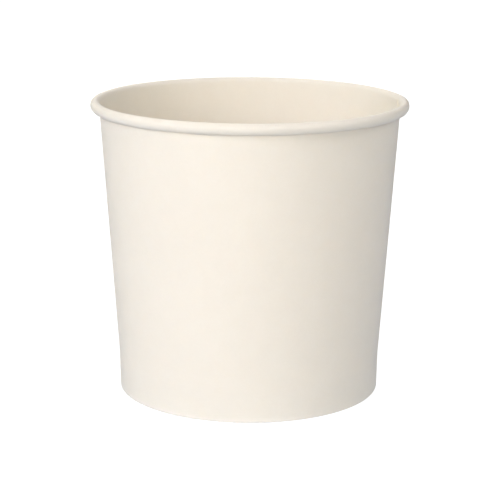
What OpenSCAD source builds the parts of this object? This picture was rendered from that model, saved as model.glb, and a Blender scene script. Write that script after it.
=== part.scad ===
// Round paper soup cup, open at the top, with a rolled rim and a recessed bottom.
// It is made of two pieces of paperboard. The side wall is one sheet wrapped round and
// glued along a seam, with its top edge rolled outwards and its lower edge folded in.
// The bottom is a punched disc with a turned-down skirt that the folded edge clamps.
// The origin is the centre of the foot, on the surface the cup stands on, with +Z up.

/* [Cup] */
// Diameter over the rolled rim
rim_d = 115; // [105:0.5:130]
// Height of the whole cup
cup_h = 107; // [70:0.5:150]
// Diameter at the very bottom of the foot
foot_d = 95.6; // [80:0.2:100]
// Height of the near-upright foot band under the tapered wall
foot_h = 12.8; // [12:0.1:20]
// How much wider on the radius the foot band is at its top than at its bottom
foot_lean = 0.25; // [0:0.05:0.8]

/* [Board] */
// Thickness of the side wall board
wall_t = 0.45; // [0.3:0.05:0.6]
// Thickness of the bottom board
bottom_t = 0.4; // [0.3:0.05:0.6]
// Film of coating between glued layers
seal_gap = 0.05; // [0.02:0.01:0.1]

/* [Rolled rim] */
// Width of the roll, from the inside of the cup to the edge of the rim
roll_w = 3.55; // [3:0.05:4]
// Height of the roll
roll_h = 4.1; // [4:0.05:6]
// Free space between one turn of the roll and the next
roll_gap = 0.08; // [0.04:0.01:0.15]
// Half turns in the roll
roll_half_turns = 3; // [2:1:3]

/* [Side seam] */
// Direction of the outer edge of the seam, counted from +X towards +Y
seam_angle = 14; // [0:1:359]
// Width of the glued overlap at mid height
seam_w = 8; // [5:0.5:14]
// Width over which the outer layer comes back down to the wall
seam_ramp_w = 6.5; // [4:0.5:12]

/* [Bottom] */
// How far the floor lies below the top of the foot band
floor_drop = 1; // [0.5:0.1:1.6]
// Outside radius of the turned-down edge of the disc
disc_edge_r = 1.4; // [0.8:0.1:2]
// Height of the folded-in lower edge of the wall
hem_h = 8.6; // [5:0.1:9.4]
// Outside radius of the fold at the foot, where it meets the table
fold_r = 0.45; // [0.2:0.05:0.6]

/* [Hidden] */
$fn = 180;
board_color = [0.95, 0.93, 0.87];
// Depth to which a layer is sunk into the one that it is part of
weld = 0.1;
// Margin by which a cutting shape passes what it cuts
past = 0.5;

rim_r = rim_d / 2;
foot_r = foot_d / 2;

// The roll is an upper and a lower round end with a short straight length between them.
// Each half turn is tighter than the one before by one step.
roll_r = roll_w / 2;
roll_step = (wall_t + roll_gap) / 2;
roll_centre_r = rim_r - roll_r;
roll_low_z = cup_h - roll_h + roll_r - roll_step;
roll_top_z = cup_h - roll_r;

// The inside of the wall runs up into the inner side of the roll
wall_top_r = rim_r - roll_w + wall_t;
wall_foot_r = foot_r + foot_lean;

// Outside radius of the foot band at a height
function foot_band_r(z) = foot_r + foot_lean * z / foot_h;
// Outside radius of the tapered wall at a height
function taper_r(z) = wall_foot_r + (wall_top_r - wall_foot_r) * (z - foot_h) / (roll_top_z - foot_h);

// Depth of each face of the layers in the foot band, counted in from its outside
skirt_outer = wall_t + seal_gap;
skirt_inner = skirt_outer + bottom_t;
hem_outer = skirt_inner + seal_gap;
hem_inner = hem_outer + wall_t;

// The skirt of the disc stands just above the inside of the fold
skirt_z = max(wall_t, fold_r) + seal_gap;
floor_z = foot_h - floor_drop;
disc_edge_z = floor_z - disc_edge_r;
disc_flat_r = foot_band_r(disc_edge_z) - skirt_outer - disc_edge_r;

// The seam in degrees. Angle 0 is where the lifted outer layer has come back down to the
// wall, then come the ramp and the overlap, which ends at the seam's outer edge.
seam_mid_r = taper_r((foot_h + roll_low_z) / 2);
ramp_angle = seam_ramp_w / seam_mid_r * 180 / PI;
lap_angle = seam_w / seam_mid_r * 180 / PI;
// Sideways shift of the wall's own form that lifts it by one board at the top of the ramp
ramp_shift = wall_t / sin(ramp_angle);

// Points up the wall at a depth inside its outer face, from the foot band to the taper
function wall_line(depth, z0, z1) = [
    [foot_band_r(z0) - depth, z0],
    [wall_foot_r - depth, foot_h],
    [taper_r(z1) - depth, z1],
];

// Section of the wall between two depths
module wall_strip(outer, inner, z0, z1) {
    back = wall_line(inner, z0, z1);
    polygon(concat(wall_line(outer, z0, z1), [back[2], back[1], back[0]]));
}

// Section of all that lies deeper than a depth, in to the axis of the cup
module wall_core(depth, z0, z1) {
    polygon(concat([[0, z0]], wall_line(depth, z0, z1), [[0, z1]]));
}

// Section of one layer inside the foot band, between two depths
module foot_strip(outer, inner, z0, z1) {
    polygon([
        [foot_band_r(z0) - outer, z0],
        [foot_band_r(z1) - outer, z1],
        [foot_band_r(z1) - inner, z1],
        [foot_band_r(z0) - inner, z0],
    ]);
}

// Radius and centre of one half turn of the roll. Even turns are upper ends, odd ones lower.
function turn_r(turn) = roll_r - turn * roll_step;
function turn_is_upper(turn) = turn % 2 == 0;
function turn_centre_r(turn) = roll_centre_r + (turn_is_upper(turn) ? 0 : roll_step);

// One half turn of the roll
module roll_half_turn(turn) {
    outer = turn_r(turn);
    upper = turn_is_upper(turn);
    translate([turn_centre_r(turn), upper ? roll_top_z : roll_low_z])
        difference() {
            intersection() {
                circle(r = outer);
                translate([-outer - past, upper ? 0 : -outer - past])
                    square([2 * (outer + past), outer + past]);
            }
            circle(r = outer - wall_t);
        }
}

// The straight length from the end of one half turn to the start of the next
module roll_side(turn) {
    end_r = turn_is_upper(turn) ? turn_r(turn) - wall_t : -turn_r(turn);
    translate([turn_centre_r(turn) + end_r, roll_low_z])
        square([wall_t, roll_top_z - roll_low_z]);
}

// Section of the rolled rim: a spiral whose outer face is the inside of the wall
module roll_section() {
    for (turn = [0 : roll_half_turns - 1])
        roll_half_turn(turn);
    for (turn = [0 : roll_half_turns - 2])
        roll_side(turn);
}

// Section of the fold at the foot, rounded at both lower corners
module fold_section() {
    corner_outer = foot_band_r(fold_r) - fold_r;
    corner_inner = foot_band_r(fold_r) - hem_inner + fold_r;
    translate([corner_inner, 0])
        square([corner_outer - corner_inner, wall_t]);
    for (r = [corner_inner, corner_outer])
        translate([r, fold_r])
            intersection() {
                circle(r = fold_r);
                translate([-fold_r - past, -fold_r - past])
                    square([2 * (fold_r + past), fold_r + past]);
            }
}

// Section of the whole sheet away from the seam
module sheet_section() {
    roll_section();
    wall_strip(0, wall_t, fold_r, roll_top_z);
    fold_section();
    foot_strip(hem_outer, hem_inner, fold_r, hem_h);
}

// The wall's own form, filled to the axis and shifted so that it slopes across the seam
module lifted_core(depth) {
    translate([0, ramp_shift, 0])
        rotate_extrude()
            wall_core(depth, 0, roll_top_z);
}

// Outer layer of the glued overlap, one board thick, thinning to nothing down the ramp
module seam_layer() {
    intersection() {
        rotate_extrude(angle = ramp_angle + lap_angle)
            wall_strip(-wall_t, weld, fold_r, roll_low_z);
        lifted_core(0);
    }
}

// The same layer where it is folded in with the hem
module seam_hem_layer() {
    rotate_extrude(angle = lap_angle, start = ramp_angle)
        foot_strip(hem_inner - weld, hem_inner + wall_t, fold_r, hem_h);
}

// Groove inside the cup, between the inner edge of the sheet and the lifted outer layer
module seam_groove() {
    intersection() {
        rotate_extrude(angle = ramp_angle)
            wall_strip(0, wall_t + past, floor_z, roll_low_z);
        lifted_core(wall_t);
    }
}

// The wall is turned last, so that the seam ends up at its place round the cup
module sidewall() {
    color(board_color)
        rotate([0, 0, seam_angle - ramp_angle - lap_angle])
            difference() {
                union() {
                    rotate_extrude()
                        sheet_section();
                    seam_layer();
                    seam_hem_layer();
                }
                seam_groove();
            }
}

// Section of the rounded edge where the disc turns down into its skirt
module disc_edge_section() {
    translate([disc_flat_r, disc_edge_z])
        difference() {
            intersection() {
                circle(r = disc_edge_r);
                square(disc_edge_r + past);
            }
            circle(r = disc_edge_r - bottom_t);
        }
}

module bottom_disc() {
    color(board_color)
        rotate_extrude() {
            translate([0, floor_z - bottom_t])
                square([disc_flat_r, bottom_t]);
            disc_edge_section();
            foot_strip(skirt_outer, skirt_inner, skirt_z, disc_edge_z);
        }
}

sidewall();
bottom_disc();
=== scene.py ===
"""Looks of the paper soup cup: its two pieces of board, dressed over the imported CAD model."""

import math

import bmesh
import bpy
from bpy.props import FloatProperty, FloatVectorProperty, IntProperty, PointerProperty
from mathutils import Matrix, Vector


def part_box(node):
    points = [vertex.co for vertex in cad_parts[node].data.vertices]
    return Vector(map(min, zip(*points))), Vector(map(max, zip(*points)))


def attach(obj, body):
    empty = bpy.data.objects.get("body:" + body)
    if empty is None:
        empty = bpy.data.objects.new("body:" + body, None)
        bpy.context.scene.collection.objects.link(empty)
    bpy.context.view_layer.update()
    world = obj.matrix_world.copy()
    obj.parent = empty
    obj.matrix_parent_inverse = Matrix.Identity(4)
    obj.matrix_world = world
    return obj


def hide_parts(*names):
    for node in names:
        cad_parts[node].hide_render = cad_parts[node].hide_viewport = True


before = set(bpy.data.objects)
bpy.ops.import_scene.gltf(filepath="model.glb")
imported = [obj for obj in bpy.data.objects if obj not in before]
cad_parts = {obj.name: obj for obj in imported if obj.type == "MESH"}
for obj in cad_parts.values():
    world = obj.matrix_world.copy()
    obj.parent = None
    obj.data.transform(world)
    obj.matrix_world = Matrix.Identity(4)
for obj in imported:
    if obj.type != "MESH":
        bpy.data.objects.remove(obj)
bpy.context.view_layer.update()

bl_info = {
    "name": "Paper soup cup",
    "version": (1, 0, 0),
    "blender": (4, 5, 0),
    "location": "3D View > Sidebar > Soup cup",
    "description": "Makes the board pieces of a round paper soup cup and a plain studio for it",
    "category": "Object",
}

MM = 0.001
BODY = "root"

# The sizes over all come from the CAD model, to a tenth of a millimetre
wall_low, wall_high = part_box("sidewall")
RIM_DIAMETER = round((wall_high.x - wall_low.x) / MM, 1) * MM
CUP_HEIGHT = round(wall_high.z / MM, 1) * MM


def length(name, description, default, smallest=0.0):
    """A size that is shown in the scene's own unit."""
    return FloatProperty(
        name=name,
        description=description,
        default=default,
        min=smallest,
        unit="LENGTH",
        precision=5,
    )


def number(name, description, default, highest=1.0):
    """A plain number from nothing upwards."""
    return FloatProperty(
        name=name,
        description=description,
        default=default,
        min=0.0,
        max=highest,
        precision=3,
    )


def whole(name, description, default, smallest=1):
    """A whole number of things."""
    return IntProperty(name=name, description=description, default=default, min=smallest)


def degrees(name, description, default):
    """An angle, given here in degrees."""
    return FloatProperty(
        name=name,
        description=description,
        default=math.radians(default),
        subtype="ANGLE",
    )


def colour(name, description, default):
    return FloatVectorProperty(
        name=name,
        description=description,
        default=default,
        subtype="COLOR",
        size=3,
        min=0.0,
        max=1.0,
    )


class CupSizes(bpy.types.PropertyGroup):
    rim_diameter: length("Rim diameter", "Diameter over the rolled rim", RIM_DIAMETER)
    height: length("Height", "Height of the whole cup", CUP_HEIGHT)
    foot_diameter: length("Foot diameter", "Diameter at the very bottom", 95.6 * MM)
    foot_height: length("Foot height", "Height of the near-upright foot band", 12.8 * MM)
    foot_lean: length("Foot lean", "How much wider the foot is on the radius at its top", 0.25 * MM)
    kink_radius: length("Kink radius", "Radius of the soft bend above the foot band", 15 * MM)
    wall_board: length("Wall board", "Thickness of the side wall board", 0.45 * MM)
    bottom_board: length("Bottom board", "Thickness of the bottom board", 0.4 * MM)
    film: length("Film", "Film of coating between glued layers", 0.05 * MM)
    unevenness: length("Unevenness", "How far the wall strays from a true cone", 0.07 * MM)
    columns: whole("Columns", "Columns of faces round the wall", 500, smallest=24)


class RimSizes(bpy.types.PropertyGroup):
    roll_width: length("Roll width", "Width of the roll, from the inside to its edge", 3.55 * MM)
    roll_gap: length("Roll gap", "Free space between the turns of the roll", 0.08 * MM)
    under_radius: length("Under radius", "Radius of the wide bend under the roll", 2.3 * MM)
    tuck_radius: length("Tuck radius", "Radius of the tight bend by the wall", 0.45 * MM)


class SeamSizes(bpy.types.PropertyGroup):
    angle: degrees("Seam angle", "Direction of the seam's outer edge, from +X towards +Y", 14)
    width: length("Seam width", "Width of the glued overlap at mid height", 8 * MM)
    ramp: length("Ramp width", "Width over which the outer layer comes down to the wall", 6.5 * MM)
    rim_bump: length("Rim bump", "How much wider the roll is where it holds the seam", 0.22 * MM)
    cut_slope: length("Cut slope", "How far the board's cut edges slope over its thickness", 0.04 * MM)
    bump_fall: length("Bump fall", "Width beside the seam over which the roll thins again", 2.5 * MM)
    columns: whole("Columns", "Columns of faces in the overlap", 12)


class BottomSizes(bpy.types.PropertyGroup):
    floor_drop: length("Floor drop", "How far the floor lies below the top of the foot band", 1 * MM)
    edge_radius: length("Edge radius", "Outside radius of the disc's turned-down edge", 1.4 * MM)
    hem_height: length("Hem height", "Height of the folded-in lower edge of the wall", 8.6 * MM)
    fold_radius: length("Fold radius", "Outside radius of the fold at the foot", 0.45 * MM)
    press_marks: whole("Press marks", "Upright press marks round the hem", 140, smallest=0)
    press_depth: length("Press depth", "Depth of the press marks", 0.22 * MM)
    sag: length("Sag", "How far the middle of the floor lies below its edge", 0.35 * MM)
    columns: whole("Columns", "Columns of faces round the disc", 280, smallest=24)


class BoardFinish(bpy.types.PropertyGroup):
    face: colour("Face", "Colour of the coated face", (0.87, 0.825, 0.745))
    shade: colour("Shade", "Colour of the denser patches in the board", (0.85, 0.803, 0.72))
    core: colour("Core", "Colour of the cut edge of the board", (0.80, 0.745, 0.65))
    roughness: number("Roughness", "Roughness of the coated face", 0.56)
    grain: number("Grain", "Strength of the fibre grain", 0.22)
    soak: number("Soak", "Share of the light that spreads through the fibres", 1.0)
    soak_reach: length("Soak reach", "How far that light spreads", 0.5 * MM)


class StudioSettings(bpy.types.PropertyGroup):
    lens: number("Lens", "Focal length of the camera in millimetres", 124.774, highest=500.0)
    distance: length("Distance", "Distance of the camera from the cup", 639.4 * MM)
    elevation: degrees("Elevation", "Height of the camera over the horizon", 13.611)
    tilt: degrees("Tilt", "Turn of the camera about its own axis", 0.295)
    aim_height: length("Aim height", "Height of the point that the camera looks at", 50.64 * MM)
    aim_side: length("Aim side", "How far that point is to the right of the axis", 0.283 * MM)
    light: number("Light", "Brightness of all the lamps together", 1.0, highest=10.0)


# Wiring of node trees


class Bench:
    """A node tree being wired, one node after another."""

    def __init__(self, tree):
        self.tree = tree
        self.count = 0

    def node(self, kind, feeds=None, **settings):
        """A new node, with its settings made and its named sockets fed."""
        made = self.tree.nodes.new(kind)
        made.location = (220 * (self.count // 6), -180 * (self.count % 6))
        self.count += 1
        for name, value in settings.items():
            setattr(made, name, value)
        for name, value in (feeds or {}).items():
            sockets = [socket for socket in made.inputs if socket.name == name and socket.enabled]
            self.feed(sockets[0], value)
        return made

    def feed(self, socket, value):
        """Links a socket to another one, or sets it to a plain value."""
        if isinstance(value, bpy.types.NodeSocket):
            self.tree.links.new(value, socket)
        else:
            socket.default_value = value

    def math(self, operation, *values):
        made = self.node("ShaderNodeMath", operation=operation)
        for socket, value in zip(made.inputs, values):
            self.feed(socket, value)
        return made.outputs[0]

    def add(self, *values):
        total = values[0]
        for value in values[1:]:
            total = self.math("ADD", total, value)
        return total

    def times(self, *values):
        product = values[0]
        for value in values[1:]:
            product = self.math("MULTIPLY", product, value)
        return product

    def spread(self, value, low, high, out_low=0.0, out_high=1.0, kind="LINEAR"):
        """The value's place between low and high, brought to a range of its own."""
        feeds = {
            "Value": value,
            "From Min": low,
            "From Max": high,
            "To Min": out_low,
            "To Max": out_high,
        }
        return self.node("ShaderNodeMapRange", feeds, interpolation_type=kind).outputs["Result"]


# Section of the board, as a line of points up or down it

# Bevel of the board's cut edges
CUT_BEVEL = 0.05 * MM


def step(low, high, value):
    """Smooth rise from 0 at low to 1 at high."""
    place = min(1.0, max(0.0, (value - low) / (high - low)))
    return place * place * (3 - 2 * place)


class Path:
    """The inner face of a piece of board in section. The board lies on the left of the path."""

    def __init__(self):
        self.points = []

    def put(self, r, z, heading, **facts):
        normal = (-math.sin(heading), math.cos(heading))
        self.points.append({"r": r, "z": z, "normal": normal, **facts})

    def bend(self, centre, radius, start, end, steps, **facts):
        """Part of a circle, from one angle to another, in degrees."""
        turn = 90 if end > start else -90
        for i in range(steps + 1):
            angle = start + (end - start) * i / steps
            x = math.cos(math.radians(angle))
            z = math.sin(math.radians(angle))
            given = {name: fact(angle) if callable(fact) else fact for name, fact in facts.items()}
            self.put(centre[0] + radius * x, centre[1] + radius * z, math.radians(angle + turn), **given)

    def run(self, start, end, shares, **facts):
        """Part of a straight line, at shares of its length."""
        heading = math.atan2(end[1] - start[1], end[0] - start[0])
        for part in shares:
            r = start[0] + (end[0] - start[0]) * part
            z = start[1] + (end[1] - start[1]) * part
            self.put(r, z, heading, **facts)


def even(count, low=0.0, high=1.0):
    """Evenly spaced shares, with the ends left out."""
    return [low + (high - low) * (i + 1) / (count + 1) for i in range(count)]


def section_rows(path, board, bevel, side=1, from_axis=False):
    """Rows round the whole section: along the path, round the cut end and back up the other face.

    The board lies on the left of the path, or on the right where side is -1. A path that
    starts at the axis of the cup has no cut edge there.
    """
    points = path.points
    last = len(points) - 1
    rows = []

    def row(i, depth, face, along=0.0, cut=0.0):
        point = points[i]
        nr, nz = point["normal"]
        # The normal turned back by a right angle points along the path
        r = point["r"] + side * depth * nr + along * nz
        z = point["z"] + side * depth * nz - along * nr
        press = face * point.get("mark", 0.0)
        rows.append({"r": r, "z": z, "face": face, "cut": cut, "press": press, "point": point})

    if from_axis:
        row(0, 0.0, 0.0)
    else:
        row(0, bevel, 0.0)
        row(0, 0.0, 0.0, along=bevel)
    for i in range(1, last):
        row(i, 0.0, 0.0)
    row(last, 0.0, 0.0, along=-bevel)
    row(last, bevel, 0.0, cut=1.0)
    row(last, board - bevel, 1.0)
    row(last, board, 1.0, along=-bevel)
    for i in range(last - 1, 0, -1):
        row(i, board, 1.0)
    if from_axis:
        row(0, board, 1.0)
    else:
        row(0, board, 1.0, along=bevel)
        row(0, board - bevel, 1.0, cut=1.0)
    return rows


GUIDE_FACTS = ("face", "cut", "lift", "roll", "press", "sway")


def guide_object(name, rows):
    """The rows as loose points that carry what the wrapping needs to know of each."""
    mesh = bpy.data.meshes.new(name)
    mesh.from_pydata([(row["r"], 0.0, row["z"]) for row in rows], [], [])
    across = mesh.attributes.new("across", "FLOAT_VECTOR", "POINT")
    for i, row in enumerate(rows):
        nr, nz = row["point"]["normal"]
        across.data[i].vector = (nr, 0.0, nz)
    for fact in GUIDE_FACTS:
        values = mesh.attributes.new(fact, "FLOAT", "POINT")
        for i, row in enumerate(rows):
            values.data[i].value = row[fact] if fact in row else row["point"].get(fact, 0.0)
    guide = bpy.data.objects.new(name, mesh)
    bpy.context.scene.collection.objects.link(guide)
    return guide


# The wrapping of a section round the cup's axis

# Angle past which an edge between two faces stays sharp
SHARP_ANGLE = math.radians(38)

# The unevenness is noise on a ring of this radius, drawn out up the wall by this share
ROUND_REACH = 0.05
UP_SHARE = 0.5
UNEVEN_SCALE = 26.0

WRAP_INPUTS = (
    ("Rows", "NodeSocketInt", "Rows of points in the section"),
    ("Columns", "NodeSocketInt", "Columns round the cup"),
    ("Board", "NodeSocketFloat", "Thickness of the board"),
    ("Seam Angle", "NodeSocketFloat", "Direction of the seam's outer cut edge"),
    ("Lap Angle", "NodeSocketFloat", "Angle that the glued overlap covers"),
    ("Lap Columns", "NodeSocketInt", "Columns in the overlap"),
    ("Ramp Angle", "NodeSocketFloat", "Angle over which the outer layer is lifted"),
    ("Cut Angle", "NodeSocketFloat", "Angle that the slope of a cut edge covers"),
    ("Rim Bump", "NodeSocketFloat", "How much wider the roll is at the seam"),
    ("Bump Fall", "NodeSocketFloat", "Angle over which the roll is as before beside the seam"),
    ("Press Marks", "NodeSocketInt", "Upright marks round the hem"),
    ("Press Depth", "NodeSocketFloat", "Depth of the marks"),
    ("Unevenness", "NodeSocketFloat", "How far the board strays from its true form"),
    ("Unevenness Scale", "NodeSocketFloat", "Number of waves to the metre"),
    ("Seed", "NodeSocketFloat", "Which of the random forms the unevenness takes"),
    ("Material", "NodeSocketMaterial", "Finish of the board"),
)


def wrap_tree():
    """Node tree that wraps a section round the axis as a sheet whose ends overlap in a seam."""
    tree = bpy.data.node_groups.new("Board wrapped round", "GeometryNodeTree")
    tree.interface.new_socket("Geometry", in_out="INPUT", socket_type="NodeSocketGeometry")
    for name, kind, description in WRAP_INPUTS:
        socket = tree.interface.new_socket(name, in_out="INPUT", socket_type=kind)
        socket.description = description
    tree.interface.new_socket("Geometry", in_out="OUTPUT", socket_type="NodeSocketGeometry")

    bench = Bench(tree)
    given = bench.node("NodeGroupInput").outputs
    index = bench.node("GeometryNodeInputIndex").outputs["Index"]
    rows = given["Rows"]
    columns = given["Columns"]
    seam = given["Seam Angle"]
    whole_turn = bench.add(seam, 2 * math.pi)

    # One more column and one more row than there are, which fall on the first ones
    across = bench.math("ADD", rows, 1.0)
    sheet = bench.node(
        "GeometryNodeMeshGrid",
        {"Size X": 1.0, "Size Y": 1.0, "Vertices X": bench.add(columns, 1.0), "Vertices Y": across},
    ).outputs["Mesh"]
    row = bench.math("MODULO", bench.math("MODULO", index, across), rows)
    column = bench.math("MODULO", bench.math("FLOOR", bench.math("DIVIDE", index, across)), columns)

    # The columns run from just past the seam's outer edge, round the cup and over the overlap
    last = bench.math("SUBTRACT", columns, 1.0)
    lap_start = bench.math("SUBTRACT", last, given["Lap Columns"])
    in_lap = bench.math("GREATER_THAN", column, bench.math("SUBTRACT", lap_start, 0.5))
    cut = given["Cut Angle"]
    free_turn = bench.math("SUBTRACT", 2 * math.pi, given["Lap Angle"])
    open_turn = bench.math("SUBTRACT", free_turn, bench.times(2.0, cut))
    open_step = bench.math("DIVIDE", open_turn, bench.math("SUBTRACT", lap_start, 1.0))
    open_angle = bench.add(seam, cut, bench.times(column, open_step))
    lap_step = bench.math("DIVIDE", given["Lap Angle"], given["Lap Columns"])
    lap_back = bench.times(bench.math("SUBTRACT", last, column), lap_step)
    lap_angle = bench.math("SUBTRACT", whole_turn, lap_back)
    angle = bench.node(
        "GeometryNodeSwitch",
        {"Switch": in_lap, "False": open_angle, "True": lap_angle},
        input_type="FLOAT",
    ).outputs["Output"]

    # What the section says about a row
    def sampled(value, at, kind):
        feeds = {"Geometry": given["Geometry"], "Value": value, "Index": at}
        return bench.node("GeometryNodeSampleIndex", feeds, data_type=kind).outputs["Value"]

    def of_row(name, kind="FLOAT", at=row):
        read = bench.node("GeometryNodeInputNamedAttribute", {"Name": name}, data_type=kind)
        return sampled(read.outputs["Attribute"], at, kind)

    position = bench.node("GeometryNodeInputPosition").outputs["Position"]
    place = sampled(position, row, "FLOAT_VECTOR")
    normal = of_row("across", "FLOAT_VECTOR")
    face = of_row("face")

    # The ramp lifts the outer layer by one board, and the overlap keeps it there
    ramp_end = bench.math("SUBTRACT", whole_turn, given["Lap Angle"])
    ramp_start = bench.math("SUBTRACT", ramp_end, given["Ramp Angle"])
    rise = bench.spread(angle, ramp_start, ramp_end)
    under = bench.times(rise, bench.math("SUBTRACT", 1.0, in_lap))
    risen = bench.add(bench.times(rise, face), bench.times(under, bench.math("SUBTRACT", 1.0, face)))
    lift = bench.times(risen, of_row("lift"), given["Board"])

    # The press marks are pushed back into the board
    wave = bench.math("COSINE", bench.times(angle, given["Press Marks"]))
    push = bench.times(bench.spread(wave, -1.0, 1.0), of_row("press"), given["Press Depth"])
    moved = bench.math("SUBTRACT", lift, push)
    offset = bench.node("ShaderNodeVectorMath", {"Vector": normal, "Scale": moved}, operation="SCALE")

    # The roll swells over the seam, and the wall strays a little from a true cone
    past = bench.math("SUBTRACT", angle, seam)
    fall = bench.spread(past, 0.0, given["Bump Fall"], 1.0, 0.0, "SMOOTHSTEP")
    swell = bench.times(bench.math("MAXIMUM", rise, fall), of_row("roll"), given["Rim Bump"])
    cosine = bench.math("COSINE", angle)
    sine = bench.math("SINE", angle)
    section = bench.node("ShaderNodeSeparateXYZ", {"Vector": place}).outputs
    around = bench.node(
        "ShaderNodeCombineXYZ",
        {
            "X": bench.times(cosine, ROUND_REACH),
            "Y": bench.times(sine, ROUND_REACH),
            "Z": bench.times(section["Z"], UP_SHARE),
        },
    ).outputs["Vector"]
    noise = bench.node(
        "ShaderNodeTexNoise",
        {"Vector": around, "W": given["Seed"], "Scale": given["Unevenness Scale"], "Detail": 1.0},
        noise_dimensions="4D",
    ).outputs["Fac"]
    stray = bench.times(bench.spread(noise, 0.2, 0.8, -1.0, 1.0), of_row("sway"), given["Unevenness"])

    shifted = bench.node("ShaderNodeSeparateXYZ", {"Vector": offset.outputs["Vector"]}).outputs
    radius = bench.add(section["X"], shifted["X"], swell, stray)
    point = bench.node(
        "ShaderNodeCombineXYZ",
        {
            "X": bench.times(radius, cosine),
            "Y": bench.times(radius, sine),
            "Z": bench.add(section["Z"], shifted["Z"]),
        },
    ).outputs["Vector"]
    placed = bench.node("GeometryNodeSetPosition", {"Geometry": sheet, "Position": point})

    # Faces on a cut edge of the board are marked, before the rows and columns are joined
    face_row = bench.math("MODULO", index, rows)
    face_column = bench.math("FLOOR", bench.math("DIVIDE", index, rows))
    outer_cut = bench.math("COMPARE", face_column, last, 0.5)
    inner_cut = bench.math("COMPARE", face_column, bench.math("SUBTRACT", lap_start, 1.0), 0.5)
    end_cut = bench.math("MAXIMUM", outer_cut, inner_cut)
    marked = bench.node(
        "GeometryNodeStoreNamedAttribute",
        {
            "Geometry": placed.outputs["Geometry"],
            "Name": "cut_edge",
            "Value": bench.math("MAXIMUM", of_row("cut", at=face_row), end_cut),
        },
        data_type="FLOAT",
        domain="FACE",
    )
    joined = bench.node(
        "GeometryNodeMergeByDistance",
        {"Geometry": marked.outputs["Geometry"], "Distance": 0.001 * MM},
    )

    # Everything is shaded smooth but for the corners of the cut edges
    smooth = bench.node(
        "GeometryNodeSetShadeSmooth",
        {"Geometry": joined.outputs["Geometry"], "Shade Smooth": True},
        domain="FACE",
    )
    bent = bench.node("GeometryNodeInputMeshEdgeAngle").outputs["Unsigned Angle"]
    sharp = bench.math("GREATER_THAN", bent, SHARP_ANGLE)
    shaded = bench.node(
        "GeometryNodeSetShadeSmooth",
        {"Geometry": smooth.outputs["Geometry"], "Selection": sharp, "Shade Smooth": False},
        domain="EDGE",
    )
    real = bench.node("GeometryNodeRealizeInstances", {"Geometry": shaded.outputs["Geometry"]})
    finished = bench.node(
        "GeometryNodeSetMaterial",
        {"Geometry": real.outputs["Geometry"], "Material": given["Material"]},
    )
    result = bench.node("NodeGroupOutput")
    tree.links.new(finished.outputs["Geometry"], result.inputs["Geometry"])
    return tree


def wrapped_piece(name, rows, values, material):
    """Wraps a section round the axis and gives the result as a plain mesh object."""
    guide = guide_object(name + "_section", rows)
    tree = wrap_tree()
    modifier = guide.modifiers.new("Wrap", "NODES")
    modifier.node_group = tree
    inputs = [item for item in tree.interface.items_tree if item.in_out == "INPUT"]
    sockets = {item.name: item.identifier for item in inputs}
    values = {**values, "Rows": len(rows), "Material": material}
    for socket, value in values.items():
        modifier[sockets[socket]] = value
    bpy.context.view_layer.update()
    evaluated = guide.evaluated_get(bpy.context.evaluated_depsgraph_get())
    mesh = bpy.data.meshes.new_from_object(evaluated)
    if not mesh.polygons:
        raise RuntimeError("the section of " + name + " was not wrapped")
    guide_mesh = guide.data
    bpy.data.objects.remove(guide)
    bpy.data.meshes.remove(guide_mesh)
    bpy.data.node_groups.remove(tree)
    close_shell(mesh)
    mesh.name = name
    piece = bpy.data.objects.new(name, mesh)
    bpy.context.scene.collection.objects.link(piece)
    return piece


def close_shell(mesh):
    """Takes out the loose edge along the axis, and turns the faces outwards."""
    shell = bmesh.new()
    shell.from_mesh(mesh)
    loose = [edge for edge in shell.edges if edge.is_wire]
    bmesh.ops.delete(shell, geom=loose, context="EDGES")
    if any(not edge.is_manifold for edge in shell.edges):
        raise RuntimeError("the board is not a closed shell")
    if shell.calc_volume(signed=True) < 0:
        bmesh.ops.reverse_faces(shell, faces=shell.faces)
    shell.to_mesh(mesh)
    shell.free()


# Side wall and its rolled rim


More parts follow.
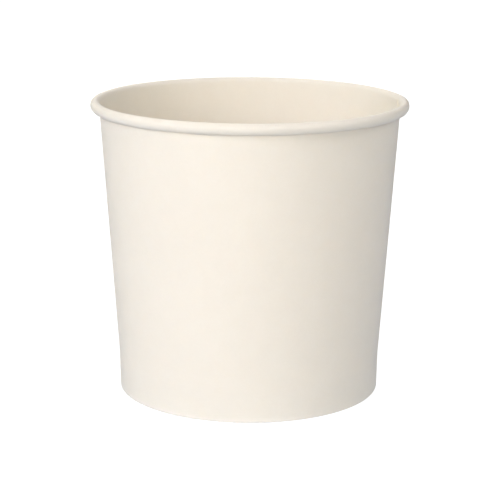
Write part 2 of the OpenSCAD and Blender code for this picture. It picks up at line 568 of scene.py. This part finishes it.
def wall_path(cup, rim, bottom):
    """The inside of the wall, from the end of the roll, over the rim and down to the hem."""
    board = cup.wall_board
    rim_r = cup.rim_diameter / 2
    roll_r = rim.roll_width / 2
    centre_r = rim_r - roll_r
    top_z = cup.height - roll_r
    foot_r = cup.foot_diameter / 2
    wall_foot_r = foot_r + cup.foot_lean
    wall_top_r = rim_r - rim.roll_width + board
    lean = math.atan2(wall_top_r - wall_foot_r, top_z - cup.foot_height)
    foot_lean = math.atan2(cup.foot_lean, cup.foot_height)
    inner_r = roll_r - board - rim.roll_gap
    fold_inner = 0.02 * MM

    def foot_band_r(z):
        return foot_r + cup.foot_lean * z / cup.foot_height

    path = Path()
    # The end of the board lies inside the roll, and its turns grow wider towards the wall
    path.bend((centre_r, top_z), inner_r, 0, 180, 9, roll=1.0)
    # The roll turns up tightly by the wall, and widely on its way out to its outer side
    wide_r = rim.under_radius
    tuck_r = rim.tuck_radius
    wide = (rim_r - wide_r, top_z)
    tuck_side = centre_r - inner_r + tuck_r
    drop = math.sqrt((wide_r - tuck_r) ** 2 - (wide[0] - tuck_side) ** 2)
    tuck = (tuck_side, top_z - drop)
    meet = 360 + math.degrees(math.atan2(tuck[1] - wide[1], tuck[0] - wide[0]))
    path.bend(tuck, tuck_r, 180, meet, 6, roll=1.0)
    path.bend(wide, wide_r, meet, 360, 14, roll=1.0)
    over = 180 - math.degrees(lean)
    path.bend(
        (centre_r, top_z),
        roll_r,
        0,
        over,
        16,
        roll=lambda angle: 0.5 + 0.5 * math.cos(math.radians(angle)),
        lift=lambda angle: 0.5 * step(130, 180, angle),
        sway=1.0,
    )
    for point in path.points:
        point["sway"] = 1.0

    # The wall runs down to a soft bend above the foot band
    kink = (wall_foot_r - board, cup.foot_height)
    head = (path.points[-1]["r"], path.points[-1]["z"])
    reach = cup.kink_radius * math.tan((lean - foot_lean) / 2)
    bend_start = (
        kink[0] + reach * math.sin(lean),
        kink[1] + reach * math.cos(lean),
    )
    bend_end = (
        kink[0] - reach * math.sin(foot_lean),
        kink[1] - reach * math.cos(foot_lean),
    )
    wall = Path()
    shares = [0.012, 0.024, 0.04] + even(13, 0.04, 1.0)
    wall.run(head, bend_start, shares)
    # The bend turns the wall towards the upright, so its centre lies outside the cup
    centre = (
        bend_start[0] + cup.kink_radius * math.cos(lean),
        bend_start[1] - cup.kink_radius * math.sin(lean),
    )
    wall.bend(centre, cup.kink_radius, 180 - math.degrees(lean), 180 - math.degrees(foot_lean), 4)
    corner = (foot_band_r(board) - board, board)
    wall.run(bend_end, (corner[0], corner[1] + fold_inner), [0.2, 0.4, 0.6, 0.8, 0.88, 0.92, 0.96])
    for point in wall.points:
        squeezed = step(0.4 * MM, 1.6 * MM, point["z"])
        pressed = step(cup.height - 14 * MM, cup.height - 5 * MM, point["z"])
        point["lift"] = squeezed * (1 - 0.5 * pressed)
        point["sway"] = step(cup.foot_height, 3 * cup.foot_height, point["z"])
    path.points += wall.points

    # The board is folded in under the skirt of the disc and goes up behind it as the hem
    depth = board + bottom_skirt(cup) + cup.film
    hem_r = foot_band_r(board) - depth
    path.bend((corner[0] - fold_inner, corner[1] + fold_inner), fold_inner, 0, -90, 3, lift=0.0)
    path.bend((hem_r + fold_inner, corner[1] + fold_inner), fold_inner, -90, -180, 3, lift=0.0)
    hem = Path()
    hem_top = (foot_band_r(bottom.hem_height) - depth, bottom.hem_height)
    hem.run((hem_r, corner[1] + fold_inner), hem_top, even(13) + [1.0])
    for point in hem.points:
        rising = step(0.8 * MM, 2.2 * MM, point["z"])
        falling = 1 - step(bottom.hem_height - 2.2 * MM, bottom.hem_height - 0.8 * MM, point["z"])
        point["lift"] = step(0.5 * MM, 1.2 * MM, point["z"])
        point["mark"] = rising * falling
    path.points += hem.points
    return path


def bottom_skirt(cup):
    """Room from the wall's inner face to the hem's, less a film on the hem's side."""
    return cup.film + cup.bottom_board


class CUP_OT_side_wall(bpy.types.Operator):
    """Make the side wall: one sheet with its rolled rim, glued seam, folded foot and hem"""

    bl_idname = "soup_cup.side_wall"
    bl_label = "Side wall"

    def execute(self, context):
        scene = context.scene
        cup = scene.cup_sizes
        seam = scene.cup_seam
        bottom = scene.cup_bottom
        rows = section_rows(wall_path(cup, scene.cup_rim, bottom), cup.wall_board, CUT_BEVEL)
        mid_r = (cup.rim_diameter + cup.foot_diameter) / 4
        values = {
            "Columns": cup.columns,
            "Board": cup.wall_board,
            "Seam Angle": seam.angle,
            "Lap Angle": seam.width / mid_r,
            "Lap Columns": seam.columns,
            "Ramp Angle": seam.ramp / mid_r,
            "Cut Angle": seam.cut_slope / mid_r,
            "Rim Bump": seam.rim_bump,
            "Bump Fall": seam.bump_fall / mid_r,
            "Press Marks": bottom.press_marks,
            "Press Depth": bottom.press_depth,
            "Unevenness": cup.unevenness,
            "Unevenness Scale": UNEVEN_SCALE,
            "Seed": 3.0,
        }
        finish = board_material("wall_board", scene.cup_finish)
        piece = wrapped_piece("cup_side_wall", rows, values, finish)
        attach(piece, BODY)
        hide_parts("sidewall")
        return {"FINISHED"}


# Bottom disc


def disc_path(cup, bottom):
    """The floor of the cup from its middle outwards, then down the outside of the skirt."""
    board = cup.bottom_board
    foot_r = cup.foot_diameter / 2
    floor_z = cup.foot_height - bottom.floor_drop
    outer = cup.wall_board + cup.film
    edge_z = floor_z - bottom.edge_radius

    def face_r(z):
        return foot_r + cup.foot_lean * z / cup.foot_height - outer

    flat_r = face_r(edge_z) - bottom.edge_radius
    skirt_z = max(cup.wall_board, bottom.fold_radius) + cup.film
    path = Path()
    shares = [0.0, 0.06, 0.14, 0.24, 0.36, 0.5, 0.64, 0.78, 0.9, 0.96]
    path.run((0.0, floor_z), (flat_r, floor_z), shares)
    for point in path.points:
        part = point["r"] / flat_r
        point["z"] -= bottom.sag * (1 - step(0.0, 1.0, part))
    path.bend((flat_r, edge_z), bottom.edge_radius, 90, 0, 8)
    path.run((face_r(edge_z), edge_z), (face_r(skirt_z), skirt_z), [0.33, 0.67, 1.0])
    return path


class CUP_OT_bottom_disc(bpy.types.Operator):
    """Make the bottom disc, with its edge turned down into a skirt"""

    bl_idname = "soup_cup.bottom_disc"
    bl_label = "Bottom disc"

    def execute(self, context):
        scene = context.scene
        cup = scene.cup_sizes
        bottom = scene.cup_bottom
        path = disc_path(cup, bottom)
        rows = section_rows(path, cup.bottom_board, CUT_BEVEL, side=-1, from_axis=True)
        # The disc has no seam, so its ramp and bump have any width at all
        values = {
            "Columns": bottom.columns,
            "Board": cup.bottom_board,
            "Seam Angle": 0.0,
            "Lap Angle": 0.0,
            "Lap Columns": 1,
            "Ramp Angle": 0.1,
            "Cut Angle": 0.0,
            "Rim Bump": 0.0,
            "Bump Fall": 0.1,
            "Press Marks": 0,
            "Press Depth": 0.0,
            "Unevenness": 0.0,
            "Unevenness Scale": UNEVEN_SCALE,
            "Seed": 5.0,
        }
        finish = board_material("bottom_board", scene.cup_finish)
        piece = wrapped_piece("cup_bottom_disc", rows, values, finish)
        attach(piece, BODY)
        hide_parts("bottom_disc")
        return {"FINISHED"}


# Finish of the board

# Depth of the fibre grain, and how strongly the coating bends light
GRAIN_DEPTH = 0.03 * MM
COATING_IOR = 1.45
# Reach of red, green and blue light in the fibres, as shares of the whole reach
SOAK_BY_COLOUR = (1.0, 0.85, 0.65)


def board_material(name, finish):
    """Matt coated paperboard, with cloudy patches, fibre grain and a plainer cut edge."""
    material = bpy.data.materials.new(name)
    material.use_nodes = True
    tree = material.node_tree
    tree.nodes.clear()
    bench = Bench(tree)
    place = bench.node("ShaderNodeTexCoord").outputs["Object"]
    per_mm = (1 / MM, 1 / MM, 1 / MM)
    in_mm = bench.node("ShaderNodeMapping", {"Vector": place, "Scale": per_mm}).outputs["Vector"]

    def noise(scale, detail, roughness, distortion=0.0):
        feeds = {
            "Vector": in_mm,
            "Scale": scale,
            "Detail": detail,
            "Roughness": roughness,
            "Distortion": distortion,
        }
        return bench.node("ShaderNodeTexNoise", feeds).outputs["Fac"]

    def mix(factor, first, second):
        feeds = {"Factor": factor, "A": first, "B": second}
        made = bench.node("ShaderNodeMix", feeds, data_type="RGBA")
        return [socket for socket in made.outputs if socket.enabled][0]

    clouds = noise(0.16, 3.0, 0.55)
    mottle = noise(1.1, 4.0, 0.6)
    fibres = noise(3.2, 5.0, 0.65, 1.4)
    patches = bench.add(
        bench.times(bench.spread(clouds, 0.3, 0.7), 0.5),
        bench.times(bench.spread(mottle, 0.3, 0.7), 0.5),
    )
    face = mix(patches, (*finish.face, 1.0), (*finish.shade, 1.0))
    cut_edge = bench.node("ShaderNodeAttribute", attribute_name="cut_edge").outputs["Fac"]
    tone = mix(cut_edge, face, (*finish.core, 1.0))
    roughness = bench.add(bench.spread(mottle, 0.3, 0.7, -0.04, 0.04), finish.roughness)
    height = bench.add(bench.times(fibres, 0.7), bench.times(mottle, 0.3))
    bump = bench.node(
        "ShaderNodeBump",
        {"Strength": finish.grain, "Distance": GRAIN_DEPTH, "Height": height},
    )
    shader = bench.node(
        "ShaderNodeBsdfPrincipled",
        {
            "Base Color": tone,
            "Roughness": roughness,
            "Normal": bump.outputs["Normal"],
            "IOR": COATING_IOR,
            "Subsurface Weight": finish.soak,
            "Subsurface Scale": finish.soak_reach,
            "Subsurface Radius": SOAK_BY_COLOUR,
        },
        subsurface_method="BURLEY",
    )
    result = bench.node("ShaderNodeOutputMaterial")
    tree.links.new(shader.outputs["BSDF"], result.inputs["Surface"])
    return material


# Studio

# Name, direction from the front towards the right and height in degrees, distance, width and
# height in metres, brightness and colour of each lamp
LAMPS = (
    ("front_left", -45, 25, 1.6, 0.8, 0.8, 7.0, (0.96, 0.96, 1.0)),
    ("front", 0, 12, 1.6, 0.8, 0.9, 5.2, (1.0, 0.95, 0.81)),
    ("front_top", 0, 66, 1.6, 0.9, 0.9, 1.2, (1.0, 0.86, 0.98)),
    ("right", 90, 40, 1.6, 0.9, 0.9, 3.4, (0.98, 1.0, 1.0)),
    ("back_left", -120, 40, 1.6, 0.9, 0.9, 2.7, (0.99, 1.0, 0.83)),
    ("back", 180, 40, 1.6, 0.9, 0.9, 3.2, (1.0, 0.96, 0.93)),
    ("bounce", 0, -90, 0.002, 2.4, 2.4, 0.62, (0.87, 0.9, 1.0)),
)


def aimed_at(place, target, tilt=0.0):
    """Matrix of a lamp or camera that stands at a place and looks at a target."""
    turn = (target - place).to_track_quat("-Z", "Y").to_matrix().to_4x4()
    return Matrix.Translation(place) @ turn @ Matrix.Rotation(tilt, 4, "Z")


def around_cup(direction, height, distance, centre):
    """Place in a direction from the front and at a height over the horizon, in radians."""
    across = math.sin(direction) * math.cos(height)
    forward = -math.cos(direction) * math.cos(height)
    return centre + Vector((across, forward, math.sin(height))) * distance


def make_camera(scene, studio):
    camera = bpy.data.cameras.new("camera")
    camera.lens = studio.lens
    camera.sensor_width = 36.0
    camera.clip_start = 0.05
    camera.clip_end = 20.0
    shot = bpy.data.objects.new("camera", camera)
    scene.collection.objects.link(shot)
    target = Vector((studio.aim_side, 0.0, studio.aim_height))
    place = around_cup(0.0, studio.elevation, studio.distance, target)
    shot.matrix_world = aimed_at(place, target, studio.tilt)
    scene.camera = shot


def make_backdrop(scene):
    """White all round, which only the camera sees."""
    world = bpy.data.worlds.new("backdrop")
    world.use_nodes = True
    world.node_tree.nodes["Background"].inputs["Color"].default_value = (1.0, 1.0, 1.0, 1.0)
    scene.world = world
    world.cycles_visibility.diffuse = False
    world.cycles_visibility.glossy = False


def floor_material():
    """Pale floor that glows enough to stay white, and that is clear from below."""
    material = bpy.data.materials.new("floor_white")
    material.use_nodes = True
    tree = material.node_tree
    tree.nodes.clear()
    bench = Bench(tree)
    paint = bench.node("ShaderNodeBsdfDiffuse", {"Color": (0.3, 0.3, 0.3, 1.0)}).outputs[0]
    glow = bench.node("ShaderNodeEmission", {"Color": (1.0, 1.0, 1.0, 1.0), "Strength": 0.9}).outputs[0]
    clear = bench.node("ShaderNodeBsdfTransparent").outputs[0]
    both = bench.node("ShaderNodeAddShader")
    tree.links.new(paint, both.inputs[0])
    tree.links.new(glow, both.inputs[1])
    underneath = bench.node("ShaderNodeNewGeometry").outputs["Backfacing"]
    choice = bench.node("ShaderNodeMixShader", {"Fac": underneath})
    tree.links.new(both.outputs[0], choice.inputs[1])
    tree.links.new(clear, choice.inputs[2])
    result = bench.node("ShaderNodeOutputMaterial")
    tree.links.new(choice.outputs[0], result.inputs["Surface"])
    return material


def make_floor(scene):
    mesh = bpy.data.meshes.new("floor")
    shell = bmesh.new()
    bmesh.ops.create_circle(shell, cap_ends=True, radius=6.0, segments=96)
    shell.to_mesh(mesh)
    shell.free()
    mesh.materials.append(floor_material())
    floor = bpy.data.objects.new("floor", mesh)
    scene.collection.objects.link(floor)
    floor.visible_diffuse = False
    floor.visible_glossy = False
    floor.visible_shadow = False


def make_lamp(scene, centre, name, direction, height, distance, width, depth, brightness, tint):
    """A soft box that faces the cup. It looks as bright as its brightness says."""
    lamp = bpy.data.lights.new(name, "AREA")
    lamp.shape = "RECTANGLE"
    lamp.size = width
    lamp.size_y = depth
    lamp.color = tint
    lamp.energy = brightness * math.pi * width * depth
    stand = bpy.data.objects.new("lamp_" + name, lamp)
    scene.collection.objects.link(stand)
    place = around_cup(math.radians(direction), math.radians(height), distance, centre)
    stand.matrix_world = aimed_at(place, centre)
    stand.visible_camera = False


class CUP_OT_studio(bpy.types.Operator):
    """Make the plain studio: floor, backdrop, lamps and the camera"""

    bl_idname = "soup_cup.studio"
    bl_label = "Studio"

    def execute(self, context):
        scene = context.scene
        studio = scene.cup_studio
        scene.view_settings.view_transform = "Standard"
        make_camera(scene, studio)
        make_backdrop(scene)
        make_floor(scene)
        for name, direction, height, distance, width, depth, brightness, tint in LAMPS:
            centre = Vector((0.0, 0.0, 0.0 if height < 0 else scene.cup_sizes.height / 2))
            strength = brightness * studio.light
            make_lamp(scene, centre, name, direction, height, distance, width, depth, strength, tint)
        return {"FINISHED"}


# Panel and registration


class CUP_PT_panel(bpy.types.Panel):
    bl_idname = "CUP_PT_panel"
    bl_label = "Soup cup"
    bl_space_type = "VIEW_3D"
    bl_region_type = "UI"
    bl_category = "Soup cup"

    def draw(self, context):
        scene = context.scene
        for title, settings, operator in PANEL_PARTS:
            box = self.layout.box()
            box.label(text=title)
            group = getattr(scene, settings)
            for name in group.__annotations__:
                box.prop(group, name)
            if operator:
                box.operator(operator)


SETTINGS = {
    "cup_sizes": CupSizes,
    "cup_rim": RimSizes,
    "cup_seam": SeamSizes,
    "cup_bottom": BottomSizes,
    "cup_finish": BoardFinish,
    "cup_studio": StudioSettings,
}

PANEL_PARTS = (
    ("Cup", "cup_sizes", None),
    ("Rolled rim", "cup_rim", None),
    ("Side seam", "cup_seam", CUP_OT_side_wall.bl_idname),
    ("Bottom", "cup_bottom", CUP_OT_bottom_disc.bl_idname),
    ("Board", "cup_finish", None),
    ("Studio", "cup_studio", CUP_OT_studio.bl_idname),
)

CLASSES = (*SETTINGS.values(), CUP_OT_side_wall, CUP_OT_bottom_disc, CUP_OT_studio, CUP_PT_panel)


def register():
    for cls in CLASSES:
        bpy.utils.register_class(cls)
    for name, cls in SETTINGS.items():
        setattr(bpy.types.Scene, name, PointerProperty(type=cls))


def unregister():
    for name in SETTINGS:
        delattr(bpy.types.Scene, name)
    for cls in reversed(CLASSES):
        bpy.utils.unregister_class(cls)


def main():
    register()
    bpy.ops.soup_cup.side_wall()
    bpy.ops.soup_cup.bottom_disc()
    bpy.ops.soup_cup.studio()


if __name__ == "__main__":
    main()
